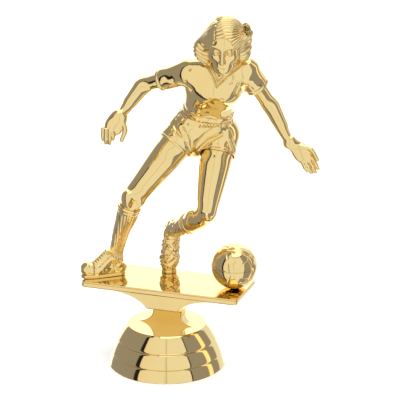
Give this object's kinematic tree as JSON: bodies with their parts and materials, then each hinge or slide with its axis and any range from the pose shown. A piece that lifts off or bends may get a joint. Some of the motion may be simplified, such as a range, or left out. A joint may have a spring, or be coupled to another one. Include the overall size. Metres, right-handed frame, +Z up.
{
  "type": "figure trophy",
  "caption": "Gold trophy figure of a running soccer player, on a plank and a waisted stem over a stepped round pedestal with a captive nut.",
  "frame": {"origin": "centre of the pedestal's underside, on the captive nut's axis, level with the rim the trophy stands on", "axes": "+Z up; +X along the plank, from the standing foot towards the ball; the player faces -Y"},
  "size_m": [0.0898, 0.0444, 0.1363],
  "materials": {
    "gold": "vacuum-metallised mirror gold under clear lacquer",
    "gold_figure": "vacuum-metallised bright gold over moulded detail",
    "gold_ball": "vacuum-metallised bright gold",
    "nut_steel": "zinc-plated steel"
  },
  "bodies": {
    "root": {"pedestal": "gold", "captive_nut": "nut_steel", "stem": "gold", "plank": "gold", "ball_lower_shell": "gold_ball", "ball_upper_shell": "gold_ball", "right_boot": "gold_figure", "right_sock": "gold_figure", "right_leg": "gold_figure", "left_boot": "gold_figure", "left_sock": "gold_figure", "left_leg": "gold_figure", "shorts": "gold_figure", "jersey": "gold_figure", "right_arm": "gold_figure", "left_arm": "gold_figure", "head": "gold_figure", "hair": "gold_figure"}
  },
  "joints": []
}
